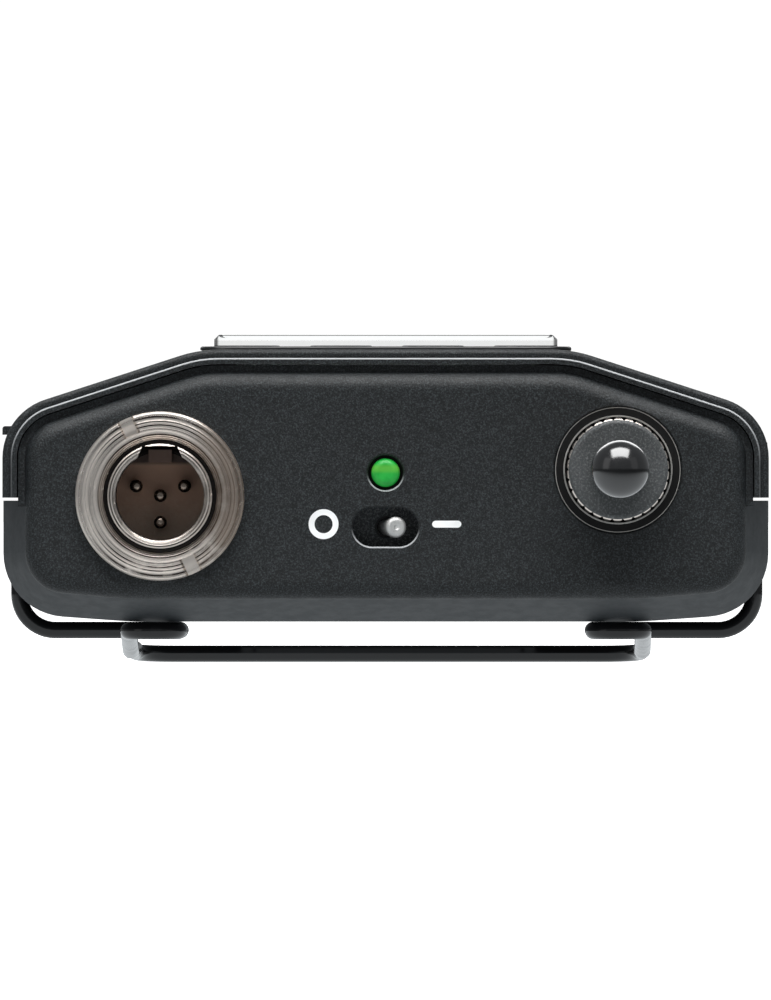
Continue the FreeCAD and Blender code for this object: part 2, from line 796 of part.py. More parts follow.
def audio_socket():
    rim = panel_y - barrel_proud
    floor = rim + barrel_depth
    gasket_back = panel_inside + socket_gasket_height
    flange_back = gasket_back + socket_flange_height
    body_back = flange_back + socket_body_length
    shell = turned([
        (barrel_bore_r, rim + bore_chamfer), (barrel_bore_r + bore_chamfer, rim),
        (barrel_r - lip_chamfer, rim), (barrel_r, rim + lip_chamfer),
        (barrel_r, gasket_back), (socket_flange_r, gasket_back), (socket_flange_r, flange_back),
        (socket_body_r, flange_back), (socket_body_r, body_back), (barrel_bore_r, body_back)],
        socket_x, socket_z)
    key_low = barrel_bore_r - key_overlap
    key_corners = [(-key_width / 2 - key_slant, key_low, 0), (key_width / 2 + key_slant, key_low, 0),
                   (key_width / 2 - key_slant, key_reach, 0), (-key_width / 2 + key_slant, key_reach, 0)]
    keyway = across([(socket_x + u, socket_z + v, r) for u, v, r in key_corners], rim - 1, floor)
    save("socket_shell", shell.cut(keyway))
    insert = rod_y(barrel_bore_r, socket_x, socket_z, floor, body_back)
    tongue = block((socket_x - tongue_width / 2, socket_x + tongue_width / 2),
                   (floor - tongue_length, floor + 1), (socket_z + key_low, socket_z + tongue_reach))
    tongue = tongue.common(rod_y(key_reach, socket_x, socket_z, rim, floor))
    insert = joined([insert, tongue])
    pins = []
    for dx, dz in pin_places:
        x, z = socket_x + dx, socket_z + dz
        pin = rod_y(pin_r, x, z, floor - pin_length, body_back)
        pin = pin.makeFillet(pin_r * 0.85, edges_at_y(pin, floor - pin_length))
        pin = joined([pin, rod_y(pin_tail_r, x, z, body_back, body_back + pin_tail_length)])
        pins.append(pin)
        insert = insert.cut(rod_y(pin_r, x, z, floor - 1, body_back + 1))
    save("socket_insert", insert)
    save("contact_pins", pins)
    gasket = rod_y(socket_flange_r, socket_x, socket_z, panel_inside, gasket_back)
    save("socket_gasket", gasket.cut(rod_y(barrel_r, socket_x, socket_z, panel_inside - 1, gasket_back + 1)))
    save("socket_nut", socket_nut())


def socket_nut():
    front = panel_y - nut_height
    thread = panel_y - nut_height * 0.4
    nut = turned([
        (barrel_r + thread_fit, panel_y), (nut_r, panel_y), (nut_r, front + 0.15), (nut_r - 0.15, front),
        (nut_bore_r + nut_chamfer, front), (nut_bore_r, front + nut_chamfer), (nut_bore_r, thread),
        (barrel_r + thread_fit, thread)], socket_x, socket_z)
    floor_half = nut_slot_floor_width / 2
    lean = (nut_slot_width / 2 - floor_half) / nut_slot_depth
    open_half = nut_slot_width / 2 + lean
    corners = [(-open_half, front - 1, 0), (open_half, front - 1, 0),
               (floor_half, front + nut_slot_depth, 0), (-floor_half, front + nut_slot_depth, 0)]
    for side in (1, -1):
        slot = upright(corners, nut_slot_inner_r, nut_r + 1)
        slot.rotate(V(0, 0, 0), V(0, 1, 0), -nut_slot_angle + (0 if side > 0 else 180))
        slot.translate(V(socket_x, 0, socket_z))
        nut = nut.cut(slot)
    return nut


# ---- antenna ----
def antenna():
    x, z = antenna_x, antenna_z
    well_floor = panel_y + antenna_well_depth
    flange_front = well_floor - jack_flange_height
    thread_front = flange_front - jack_thread_out
    tail_back = panel_inside + jack_nut_height + jack_tail_length
    jack = joined([
        rod_y(jack_flange_r, x, z, flange_front, well_floor),
        rod_y(jack_thread_r, x, z, thread_front, panel_inside + jack_nut_height + 0.4),
        rod_y(jack_tail_r, x, z, panel_inside, tail_back)])
    groove = rod_y(jack_flange_r - jack_lip, x, z, flange_front - 1, flange_front + jack_groove_depth)
    groove = groove.cut(rod_y(jack_seat_r, x, z, flange_front - 2, well_floor))
    save("antenna_jack", jack.cut(groove))
    gasket = rod_y(antenna_well_r - antenna_gasket_fit, x, z, panel_y + 0.15, well_floor)
    save("antenna_gasket", gasket.cut(rod_y(jack_flange_r, x, z, panel_y - 1, well_floor + 1)))
    hexagon = []
    for i in range(6):
        a = math.radians(60 * i)
        reach = jack_nut_across / 2 / math.cos(math.radians(30))
        hexagon.append((x + reach * math.cos(a), z + reach * math.sin(a), 0))
    jack_nut = across(hexagon, panel_inside, panel_inside + jack_nut_height)
    save("antenna_jack_nut", jack_nut.cut(rod_y(jack_thread_r, x, z, panel_inside - 1, panel_inside + 3)))
    lead_turn = tail_back + antenna_lead_run
    shield_top = rf_board_z + board_height + shield_height
    lead_points = [V(x, tail_back, z), V(x, lead_turn, z), V(x, lead_turn, shield_top)]
    save("antenna_lead", lead_tube(lead_points, [0, antenna_lead_bend_r, 0]))
    collar_back = flange_front - shell_fit
    collar_front = collar_back - collar_length
    save("antenna_collar", knurled_collar(collar_front, collar_back, thread_front))
    base_front = collar_front - antenna_base_length
    base = rod_y(antenna_base_r, x, z, base_front, collar_front)
    base = base.makeFillet(antenna_base_edge_r, edges_at_y(base, base_front))
    spigot_end = base_front + whip_spigot_length
    save("antenna_base", base.cut(rod_y(whip_spigot_r, x, z, base_front - 1, spigot_end)))
    tip = panel_y - whip_tip_from_panel
    whip = joined([
        rod_y(whip_r, x, z, tip + whip_r, base_front),
        rod_y(whip_spigot_r, x, z, base_front, spigot_end),
        Part.makeSphere(whip_r, V(x, tip + whip_r, z))])
    save("antenna_whip", whip)


def lead_tube(points, radii):
    path = Part.Wire(rounded_edges(points, radii, False))
    section = Part.Wire(Part.makeCircle(antenna_lead_r, points[0], V(0, 1, 0)))
    return path.makePipeShell([section], True, True)


def knurled_collar(front, back, thread_front):
    """Thirty straight ridges around a sleeve that screws onto the jack."""
    ridge = [(0, collar_root_r), (0.3, collar_tip_r), (0.6, collar_tip_r), (0.9, collar_root_r)]
    corners = []
    for i in range(collar_teeth):
        for share, radius in ridge:
            a = 2 * math.pi * (i + share) / collar_teeth
            corners.append((antenna_x + radius * math.cos(a), antenna_z + radius * math.sin(a), 0))
    sleeve = across(corners, front, back)
    envelope = turned([
        (0, front), (collar_root_r, front), (collar_tip_r + 0.02, front + collar_edge_run),
        (collar_tip_r + 0.02, back), (0, back)], antenna_x, antenna_z)
    sleeve = sleeve.common(envelope)
    bore = rod_y(jack_thread_r + thread_fit, antenna_x, antenna_z, thread_front - 0.3, back + 1)
    return sleeve.cut(bore)


# ---- batteries ----
def batteries():
    for name, y, side in [("battery_front", cell_front_y, 1), ("battery_rear", cell_rear_y, -1)]:
        can_end = cell_length / 2 - nub_length
        can = rod_x(cell_r, y, cell_z, -side * cell_length / 2, side * can_end)
        rim = [e for e in can.Edges if len(e.Vertexes) == 1 and abs(e.BoundBox.XLength) < 1e-6]
        can = can.makeFillet(0.5, rim)
        save(name, joined([can, rod_x(nub_r, y, cell_z, side * can_end, side * cell_length / 2)]))
    floor = block((-cradle_half, cradle_half), (cradle_front, cradle_back), (floor_z, cradle_ridge_z))
    inside = cradle_half - cradle_wall
    wall = block((inside, cradle_half), (cradle_front, cradle_back), (floor_z, cradle_wall_top))
    troughs = [rod_x(cell_r + cell_fit, y, cell_z, -inside, inside) for y in (cell_front_y, cell_rear_y)]
    save("battery_cradle", without(joined([floor, wall, mirrored(wall)]), troughs))
    contacts = []
    springs = []
    for y, side in [(cell_front_y, 1), (cell_rear_y, -1)]:
        contacts.append(button_contact(y, side))
        springs.append(spring_contact(y, -side))
    save("battery_contacts", contacts)
    save("battery_springs", springs)


def button_contact(y, side):
    """The flat plate and raised button that meet a cell's nub."""
    back = cradle_half - cradle_wall
    plate = block((back - contact_height, back), (y - contact_half, y + contact_half),
                  (cell_z - contact_half_height, cell_z + contact_half_height))
    button = rod_x(contact_button_r, y, cell_z, cell_length / 2, back - contact_height)
    contact = joined([plate, button])
    return contact if side > 0 else mirrored(contact)


def spring_contact(y, side):
    """A bowed leaf that presses on a cell's flat end."""
    back = cradle_half - cradle_wall
    reach = cell_length / 2
    t = contact_height
    corners = [(back, y - 5, 0), (back, y + 5, 0), (back - t, y + 5, 0), (back - t, y - 2.6, 0),
               (reach + t, y, 0), (reach + t, y + 2.4, 0), (reach, y + 2.4, 0), (reach, y - 0.4, 0),
               (back - t, y - 4, 0), (back - t, y - 5, 0)]
    leaf = upright(corners, cell_z - 3, cell_z + 3)
    return leaf if side > 0 else mirrored(leaf)


# ---- battery door ----
def battery_door():
    start = door_gap / 2
    outer = across(case_outline(0), start, base_y)
    corner_r = base_y - hinge_y
    profile = [(start - 1, parting_top, 0), (base_y, parting_top, corner_r),
               (base_y, body_depth + 0.001, door_top_r), (start - 1, body_depth + 0.001, 0)]
    outer = outer.common(sideways(profile, -everything, everything))
    void = across(case_outline(cover_wall), start - 1, base_y - cover_wall)
    door = outer.cut(void)
    door = door.fuse(rod_x(knuckle_r, hinge_y, hinge_z, -knuckle_half, knuckle_half))
    door = door.fuse(pull_tab(start))
    lug_room = block((knuckle_half, lug_end + 0.3), (hinge_y - 3, base_y + 1),
                     (parting_z - 1, hinge_z + lug_r + lug_clearance))
    window_y = (latch_y - latch_half - latch_slack, latch_y + latch_half + latch_slack)
    window = block((half_width - cover_wall - 3, half_width + 1), window_y,
                   (latch_low_z - latch_slack, latch_top_z + latch_slack))
    rib_x = battery_bay_half - 0.4
    rib = block((rib_x - rib_height, rib_x), (latch_y - latch_half, latch_y + latch_half),
                (latch_low_z, bevel_height(rib_x, cover_wall / 2)))
    door = without(door, [lug_room, mirrored(lug_room), window, mirrored(window)])
    door = joined([door, rib, mirrored(rib)])
    bore = rod_x(hinge_pin_r + hinge_fit, hinge_y, hinge_z, -knuckle_half - 1, knuckle_half + 1)
    save("battery_door", door.cut(bore))
    save("door_hinge_pin", rod_x(hinge_pin_r, hinge_y, hinge_z, -lug_end, lug_end))
    save("door_pad", block((-pad_half, pad_half), (cell_front_y - cell_r + 1, cell_rear_y + cell_r - 1),
                           (plateau_inside - pad_height, plateau_inside)))


def pull_tab(start):
    """The fingernail catch that stands out of the door's left shoulder."""
    tab = across([(-half_width - pull_proud, pull_low_z, 0), (-half_width + 1.5, pull_low_z, 0),
                  (-half_width + 1.5, pull_low_z + pull_height, 0),
                  (-half_width - pull_proud, pull_low_z + pull_height, pull_edge_r)],
                 start, start + pull_length)
    return tab.cut(across(case_outline(cover_wall / 2), start - 1, start + pull_length + 1))


def door_latches():
    flange_out = half_width - cover_wall - shell_fit
    flange_in = flange_out - latch_flange_height
    button = block((flange_in, half_width + latch_proud), (latch_y - latch_half, latch_y + latch_half),
                   (latch_low_z, latch_top_z))
    face_x = half_width + latch_proud
    edges = [e for e in button.Edges if all(abs(v.Point.x - face_x) < 1e-6 for v in e.Vertexes)]
    button = button.makeFillet(latch_edge_r, edges)
    flange = block((flange_in, flange_out), (latch_y - latch_flange_half, latch_y + latch_flange_half),
                   (latch_low_z, rim_top - 2.6))
    latch = joined([button.common(case_void_probe()), flange])
    save("door_latch_right", latch)
    save("door_latch_left", mirrored(latch))
    leaf_back = battery_bay_half - 0.4
    leaf_front = flange_in
    t = spring_height
    y = latch_y
    corners = [(leaf_back, y - 3, 0), (leaf_front, y - 0.3, 0), (leaf_front, y + 0.3, 0),
               (leaf_back, y + 3, 0), (leaf_back, y + 2.4, 0), (leaf_front - t, y + 0.1, 0),
               (leaf_front - t, y - 0.1, 0), (leaf_back, y - 2.4, 0)]
    leaf = upright(corners, latch_low_z + 0.5, latch_low_z + 2.5)
    save("latch_spring_right", leaf)
    save("latch_spring_left", mirrored(leaf))


def case_void_probe():
    """The room a latch may fill: up to its own proud face, and under the door's shoulder inside."""
    inside = across(case_outline(cover_wall + shell_fit), latch_y - 10, latch_y + 10)
    outside = block((half_width - cover_wall - 3, half_width + 1), (latch_y - 10, latch_y + 10),
                    (parting_top, latch_top_z))
    return inside.fuse(outside)


# ---- belt clip ----
def belt_clip():
    halves = []
    for s in (-1, 1):
        points = [
            V(s * clip_pin_end, clip_plane_y, clip_pivot_z),
            V(s * clip_side_x, clip_plane_y, clip_pivot_z),
            V(s * clip_side_x, clip_plane_y, clip_wire_z),
            V(s * clip_inner_x, clip_plane_y, clip_wire_z),
            V(s * clip_inner_x, clip_turn_y, clip_wire_z),
            V(s * (clip_inner_x + clip_outer_x) / 2, clip_turn_y, clip_wire_z)]
        turn_r = (clip_outer_x - clip_inner_x) / 2
        halves.append(bent_wire(points, [0, clip_pin_bend_r, clip_side_bend_r, clip_arm_bend_r, turn_r, 0]))
    save("clip_frame", halves)
    low = clip_wire_z - clip_dip
    half_path = [
        (V((clip_inner_x + clip_outer_x) / 2, clip_turn_y, clip_wire_z), 0),
        (V(clip_outer_x, clip_turn_y, clip_wire_z), turn_r),
        (V(clip_outer_x, clip_turn_y + 3, clip_wire_z), clip_leg_bend_r),
        (V(clip_outer_x, clip_plane_y - 3, low), clip_leg_bend_r),
        (V(clip_outer_x, clip_end_y - 8, low), clip_leg_bend_r),
        (V(clip_outer_x, clip_end_y, low - clip_flare), clip_end_bend_r)]
    other_half = [(V(-p.x, p.y, p.z), r) for p, r in reversed(half_path)]
    path = half_path + other_half
    save("clip_tongue", bent_wire([p for p, r in path], [r for p, r in path]))


def rating_label():
    half = label_half_width - label_fit
    save("rating_label", block((-half, half), (label_front + label_fit, label_back - label_fit),
                               (label_sink - label_height, label_sink)))


back_case()
front_cover()
display()
keys()
boards()
case_screws()
power_switch()
status_lamp()
audio_socket()
antenna()
batteries()
battery_door()
door_latches()
belt_clip()
rating_label()
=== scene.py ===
import math
import bmesh
import bpy
import numpy as np
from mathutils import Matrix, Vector


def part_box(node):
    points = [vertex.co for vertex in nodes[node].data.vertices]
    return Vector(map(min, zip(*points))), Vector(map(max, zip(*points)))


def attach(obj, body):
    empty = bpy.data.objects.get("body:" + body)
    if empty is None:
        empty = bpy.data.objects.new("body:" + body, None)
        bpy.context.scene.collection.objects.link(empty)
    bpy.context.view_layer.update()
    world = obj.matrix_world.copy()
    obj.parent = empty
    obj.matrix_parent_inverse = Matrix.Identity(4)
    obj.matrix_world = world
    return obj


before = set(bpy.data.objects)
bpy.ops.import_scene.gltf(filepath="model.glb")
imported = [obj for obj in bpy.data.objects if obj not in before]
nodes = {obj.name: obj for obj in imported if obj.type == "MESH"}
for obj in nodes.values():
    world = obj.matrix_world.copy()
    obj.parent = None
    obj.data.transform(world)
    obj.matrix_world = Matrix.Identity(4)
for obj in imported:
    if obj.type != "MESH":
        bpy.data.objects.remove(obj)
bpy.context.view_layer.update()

mm = 0.001
scene = bpy.context.scene


# low and high corners of a CAD node, in millimetres
def span(node):
    low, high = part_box(node)
    return np.array(low) / mm, np.array(high) / mm


def middle(node):
    low, high = span(node)
    return (low + high) / 2


panelY = span("back_case")[0][1]
socketAxis = (middle("socket_nut")[0], 0, middle("socket_nut")[2])
antennaAxis = (middle("antenna_collar")[0], 0, middle("antenna_collar")[2])
clipLow = span("clip_tongue")[0][2]
print("frame loaded:", len(nodes), "nodes")


# a long lens square on to the panel's middle, in line with the antenna
camera = {"distance": 3100.0, "side": 12.0, "height": 10.5, "framed": 86.06, "sensor": 36.0,
          "clipNear": 0.1, "clipFar": 50.0}


def makeCamera():
    data = bpy.data.cameras.new("camera")
    data.sensor_width = camera["sensor"]
    data.lens = camera["sensor"] * camera["distance"] / camera["framed"]
    data.clip_start = camera["clipNear"]
    data.clip_end = camera["clipFar"]
    item = bpy.data.objects.new("camera", data)
    scene.collection.objects.link(item)
    aim = Vector((0, panelY, camera["height"])) * mm
    item.location = Vector((camera["side"], panelY - camera["distance"], camera["height"])) * mm
    item.rotation_euler = (aim - item.location).to_track_quat("-Z", "Y").to_euler()
    scene.camera = item


makeCamera()
print("camera set")


# builds one material's node tree; lengths inside it are millimetres
class Graph:
    def __init__(self, name):
        self.material = bpy.data.materials.new(name)
        self.material.use_nodes = True
        self.tree = self.material.node_tree
        self.shader = self.tree.nodes["Principled BSDF"]
        self.place = self.tree.nodes.new("ShaderNodeTexCoord").outputs["Object"]

    def join(self, value, socket):
        if isinstance(value, bpy.types.NodeSocket):
            self.tree.links.new(value, socket)
        elif value is not None:
            socket.default_value = value

    def maths(self, kind, a, b=None, c=None):
        node = self.tree.nodes.new("ShaderNodeMath")
        node.operation = kind
        for value, socket in zip((a, b, c), node.inputs):
            self.join(value, socket)
        return node.outputs[0]

    # object coordinates from a centre; stretch above 1 packs the pattern closer along that axis
    def mapped(self, centre=(0, 0, 0), stretch=(1, 1, 1), turn=(0, 0, 0)):
        node = self.tree.nodes.new("ShaderNodeMapping")
        node.vector_type = "TEXTURE"
        node.inputs["Location"].default_value = [v * mm for v in centre]
        node.inputs["Rotation"].default_value = turn
        node.inputs["Scale"].default_value = [mm / s for s in stretch]
        self.join(self.place, node.inputs["Vector"])
        return node.outputs[0]

    def noise(self, vector, scale, detail=3.0, rough=0.5):
        node = self.tree.nodes.new("ShaderNodeTexNoise")
        self.join(vector, node.inputs["Vector"])
        node.inputs["Scale"].default_value = scale
        node.inputs["Detail"].default_value = detail
        node.inputs["Roughness"].default_value = rough
        return node.outputs["Fac"]

    # noise along one number, so a radius gives rings
    def lineNoise(self, value, scale, detail=4.0, rough=0.7):
        node = self.tree.nodes.new("ShaderNodeTexNoise")
        node.noise_dimensions = "1D"
        self.join(value, node.inputs["W"])
        node.inputs["Scale"].default_value = scale
        node.inputs["Detail"].default_value = detail
        node.inputs["Roughness"].default_value = rough
        return node.outputs["Fac"]

    def cells(self, vector, scale, feature="F1"):
        node = self.tree.nodes.new("ShaderNodeTexVoronoi")
        node.feature = feature
        self.join(vector, node.inputs["Vector"])
        node.inputs["Scale"].default_value = scale
        return node.outputs["Distance"]

    # maps low..high of a value onto start..end, clamped
    def ramp(self, value, low, high, start=0.0, end=1.0):
        node = self.tree.nodes.new("ShaderNodeMapRange")
        node.interpolation_type = "SMOOTHSTEP"
        self.join(value, node.inputs["Value"])
        node.inputs["From Min"].default_value = low
        node.inputs["From Max"].default_value = high
        node.inputs["To Min"].default_value = start
        node.inputs["To Max"].default_value = end
        return node.outputs["Result"]

    def blend(self, share, a, b):
        node = self.tree.nodes.new("ShaderNodeMix")
        node.data_type = "RGBA"
        self.join(share, node.inputs[0])
        self.join(a, node.inputs[6])
        self.join(b, node.inputs[7])
        return node.outputs[2]

    def split(self, vector):
        node = self.tree.nodes.new("ShaderNodeSeparateXYZ")
        self.join(vector, node.inputs[0])
        return node.outputs

    # distance from an axis along Y
    def radius(self, at):
        x, y, z = self.split(at)
        square = self.maths("MULTIPLY_ADD", x, x, self.maths("MULTIPLY", z, z))
        return self.maths("SQRT", square)

    # 1 in a thin layer that begins at a start, with soft limits
    def layer(self, value, start, depth):
        begun = self.ramp(value, start + 0.005, start + 0.03)
        ended = self.ramp(value, start + depth, start + depth - 0.02)
        return self.maths("MULTIPLY", begun, ended)

    def bump(self, height, depth, strength=1.0):
        node = self.tree.nodes.new("ShaderNodeBump")
        self.join(height, node.inputs["Height"])
        self.join(strength, node.inputs["Strength"])
        node.inputs["Distance"].default_value = depth * mm
        return node.outputs[0]

    def finish(self, **sockets):
        names = {"color": "Base Color", "metal": "Metallic", "rough": "Roughness", "normal": "Normal",
                 "coat": "Coat Weight", "coatRough": "Coat Roughness", "specular": "Specular IOR Level",
                 "ior": "IOR", "through": "Transmission Weight", "glow": "Emission Color",
                 "glowStrength": "Emission Strength", "stretch": "Anisotropic", "tangent": "Tangent"}
        for name, value in sockets.items():
            self.join(value, self.shader.inputs[names[name]])
        return self.material


def rgb(*values):
    return (*values, 1.0)


def scaled(color, factor):
    return rgb(*[min(1.0, v * factor) for v in color[:3]])


powderCoat = {"dark": rgb(0.0030, 0.0038, 0.0042), "pale": rgb(0.040, 0.047, 0.051),
              "smooth": rgb(0.018, 0.021, 0.0235), "smoothPale": rgb(0.023, 0.027, 0.030),
              "rubbedAndHighlit": rgb(0.36, 0.37, 0.38), "lip": rgb(0.30, 0.31, 0.32),
              "grain": 5.2, "fleck": 8.5, "depth": 0.035, "specular": 0.33,
              "strength": 0.9, "plainStrength": 0.1, "edgeDepth": 0.18, "lipDepth": 0.16,
              "highlightFromZ": 13.0, "highlightToZ": 18.0, "lipBelow": 0.3, "lipHalfWidth": 3.3}


# textured powder coat: rounded grains under paler flecks; behind smoothFromY it is plain satin paint,
# and just behind edgeY the corner is painted pale as a highlight, stronger towards the top. Each hole,
# a (z, half height), has a painted highlight on its lower lip
def powderCoatMaterial(name, smoothFromY=None, edgeY=None, holes=()):
    p = powderCoat
    g = Graph(name)
    at = g.mapped()
    x, y, z = g.split(at)
    grains = g.noise(at, p["grain"], 2.0, 0.65)
    height = g.maths("MULTIPLY_ADD", g.cells(at, p["grain"] * 0.9), 0.6, grains)
    flecks = g.ramp(g.noise(at, p["fleck"], 2.0, 0.75), 0.42, 0.74)
    color = g.blend(flecks, p["dark"], p["pale"])
    rough = g.ramp(g.noise(at, 0.8, 3.0), 0.3, 0.7, 0.53, 0.60)
    strength = p["strength"]
    if smoothFromY is not None:
        textured = g.ramp(y, smoothFromY, smoothFromY + 0.1, 1.0, 0.0)
        faint = g.ramp(g.noise(at, 2.6, 4.0, 0.7), 0.35, 0.65)
        plain = g.blend(faint, p["smooth"], p["smoothPale"])
        color = g.blend(textured, plain, color)
        strength = g.maths("MULTIPLY_ADD", textured, p["strength"] - p["plainStrength"], p["plainStrength"])
    if edgeY is not None:
        # painted highlight: just behind edgeY the corner is coloured pale, stronger towards the top
        high = g.ramp(z, p["highlightFromZ"], p["highlightToZ"], 0.15, 1.0)
        rubbedAndHighlit = g.maths("MULTIPLY", g.layer(y, edgeY, p["edgeDepth"]), high)
        color = g.blend(rubbedAndHighlit, color, p["rubbedAndHighlit"])
    # painted highlight: a pale lower lip on each hole, where the light catches its edge
    for holeZ, holeHalf in holes:
        foot = holeZ - holeHalf - p["lipBelow"]
        low = g.maths("MULTIPLY", g.ramp(z, holeZ, holeZ - holeHalf * 0.8), g.ramp(z, foot, foot + 0.1))
        beside = g.ramp(g.maths("ABSOLUTE", x), p["lipHalfWidth"], p["lipHalfWidth"] - 0.1)
        near = g.maths("MULTIPLY", low, beside)
        color = g.blend(g.maths("MULTIPLY", g.layer(y, panelY, p["lipDepth"]), near), color, p["lip"])
    normal = g.bump(height, p["depth"], strength)
    return g.finish(color=color, rough=rough, normal=normal, specular=p["specular"])


turnedNickel = {"color": rgb(0.76, 0.69, 0.63), "dark": rgb(0.04, 0.033, 0.03),
                "recessShade": rgb(0.03, 0.026, 0.024), "brown": rgb(0.30, 0.235, 0.19),
                "groove": 0.05, "gapR": 4.9, "drawn": 0.45,
                "litLeftX": -7.0, "stainedX": -3.5, "litLeftShare": 0.1,
                "handledX": 5.0, "brownX": 8.5,
                "scratchStretch": (7.0, 1.0, 0.5), "scratchTurn": (0, 0.7, 0)}


# nickel plate turned in a lathe: rings about an axis along Y in front of smoothFromY and plain behind it,
# its shine drawn out along the radius, its stains thinned on its left as a painted highlight, its right
# browner; painted shade darkens it behind shadedFromY, or where none is given inside gapR
def turnedNickelMaterial(name, rings, smoothFromY=1e3, shadedFromY=None):
    n = turnedNickel
    g = Graph(name)
    at = g.mapped(socketAxis)
    x, y, z = g.split(at)
    radius = g.radius(at)
    turned = g.ramp(y, smoothFromY, smoothFromY + 0.05, 1.0, 0.0)
    fine = g.lineNoise(radius, rings)
    broad = g.lineNoise(radius, rings * 0.3, 2.0, 0.5)
    patches = g.noise(at, 0.30, 4.0, 0.6)
    across = g.mapped(socketAxis, n["scratchStretch"], n["scratchTurn"])
    scratch = g.ramp(g.noise(across, 2.4, 2.0, 0.7), 0.62, 0.70)
    stain = g.maths("MULTIPLY", g.ramp(fine, 0.45, 0.56), g.ramp(patches, 0.28, 0.48))
    # painted highlight: the stains thin out towards the left, so the nut's left side reads paler
    stain = g.maths("MULTIPLY", stain, g.ramp(x, n["litLeftX"], n["stainedX"], n["litLeftShare"], 1.0))
    color = g.blend(g.maths("MULTIPLY", stain, turned), n["color"], n["dark"])
    handled = g.ramp(g.maths("MULTIPLY_ADD", patches, 5.0, x), n["handledX"], n["brownX"], 0.0, 0.8)
    color = g.blend(g.maths("MULTIPLY", handled, turned), color, n["brown"])
    # painted shade: dark behind shadedFromY inside the barrel's mouth, or inside gapR in the nut's bore
    if shadedFromY is not None:
        shadeShare = g.ramp(y, shadedFromY, shadedFromY + 1.0)
    else:
        shadeShare = g.ramp(radius, n["gapR"], n["gapR"] - 0.05)
    color = g.blend(shadeShare, color, n["recessShade"])
    rough = g.ramp(broad, 0.3, 0.7, 0.26, 0.42)
    height = g.maths("MULTIPLY_ADD", broad, 1.6, g.maths("MULTIPLY_ADD", scratch, -0.3, fine))
    normal = g.bump(g.maths("MULTIPLY", height, turned), n["groove"], 1.0)
    outward = g.tree.nodes.new("ShaderNodeCombineXYZ")
    g.join(x, outward.inputs[0])
    g.join(z, outward.inputs[2])
    return g.finish(color=color, rough=rough, normal=normal, metal=1.0, stretch=n["drawn"],
                    tangent=outward.outputs[0])


brushed = {"stretch": (1, 1, 6), "marks": 4.0, "patches": 0.8, "worn": 0.5, "depth": 0.006}


# satin metal with fine marks along one direction and darker worn patches
def brushedMetalMaterial(name, color, roughLow, roughHigh):
    g = Graph(name)
    marks = g.noise(g.mapped((0, 0, 0), brushed["stretch"]), brushed["marks"], 4.0, 0.7)
    patches = g.ramp(g.noise(g.mapped(), brushed["patches"], 4.0, 0.6), 0.45, 0.75, 0.0, 0.7)
    shade = g.blend(patches, color, scaled(color, brushed["worn"]))
    rough = g.ramp(marks, 0.3, 0.7, roughLow, roughHigh)
    return g.finish(color=shade, rough=rough, metal=1.0, normal=g.bump(marks, brushed["depth"], 0.6))


moulded = {"cloud": 0.35, "cloudLift": 1.4, "fleck": 5.0}


# moulded plastic or rubber: spark-eroded grain, soft blotches of gloss and, if asked, pale flecks
def mouldedMaterial(name, color, rough=(0.4, 0.55), grain=4.0, depth=0.012, specular=0.5, fleck=None):
    g = Graph(name)
    at = g.mapped()
    fine = g.noise(at, grain, 3.0, 0.6)
    cloud = g.noise(at, moulded["cloud"], 3.0)
    shade = g.blend(g.ramp(cloud, 0.35, 0.7, 0.0, 0.8), color, scaled(color, moulded["cloudLift"]))
    if fleck is not None:
        shade = g.blend(g.ramp(g.noise(at, moulded["fleck"], 2.0, 0.8), 0.45, 0.72), shade, fleck)
    return g.finish(color=shade, rough=g.ramp(cloud, 0.3, 0.7, *rough), normal=g.bump(fine, depth, 0.8),
                    specular=specular)


gloss = {"rubbedAndHighlit": rgb(0.014, 0.014, 0.015), "patches": 0.5, "peel": 1.1, "peelDepth": 0.005}


# gloss enamel or polished rubber: near mirror, with orange peel and rubbed spots
def glossMaterial(name, color, rough=(0.08, 0.16), ior=1.5):
    g = Graph(name)
    at = g.mapped()
    rubbedAndHighlit = g.noise(at, gloss["patches"], 4.0, 0.65)
    shade = g.blend(g.ramp(rubbedAndHighlit, 0.55, 0.8, 0.0, 0.6), color, gloss["rubbedAndHighlit"])
    peel = g.bump(g.noise(at, gloss["peel"], 2.0), gloss["peelDepth"], 0.5)
    return g.finish(color=shade, rough=g.ramp(rubbedAndHighlit, 0.35, 0.75, *rough), normal=peel, ior=ior)


collar = {"color": rgb(0.80, 0.73, 0.67), "tip": rgb(0.03, 0.028, 0.026), "tipFrom": 4.34, "tipTo": 4.42}


# nickel ridges, bright in their valleys and dark towards their tips
def collarMaterial(name):
    g = Graph(name)
    at = g.mapped(antennaAxis)
    marks = g.noise(g.mapped((0, 0, 0), (1, 6, 1)), 4.0, 4.0, 0.7)
    ridgeRadius = g.maths("MULTIPLY_ADD", marks, 0.04, g.radius(at))
    shade = g.blend(g.ramp(ridgeRadius, collar["tipFrom"], collar["tipTo"]), collar["color"], collar["tip"])
    return g.finish(color=shade, rough=g.ramp(marks, 0.3, 0.7, 0.2, 0.36), metal=1.0,
                    normal=g.bump(marks, 0.006, 0.6))


rimmedRubberAndShade = {"dark": rgb(0.002, 0.002, 0.002), "pale": rgb(0.006, 0.006, 0.006),
                "rim": rgb(0.45, 0.44, 0.42), "soft": 0.02, "jackRimR": 4.58, "gasketRimR": 5.34}


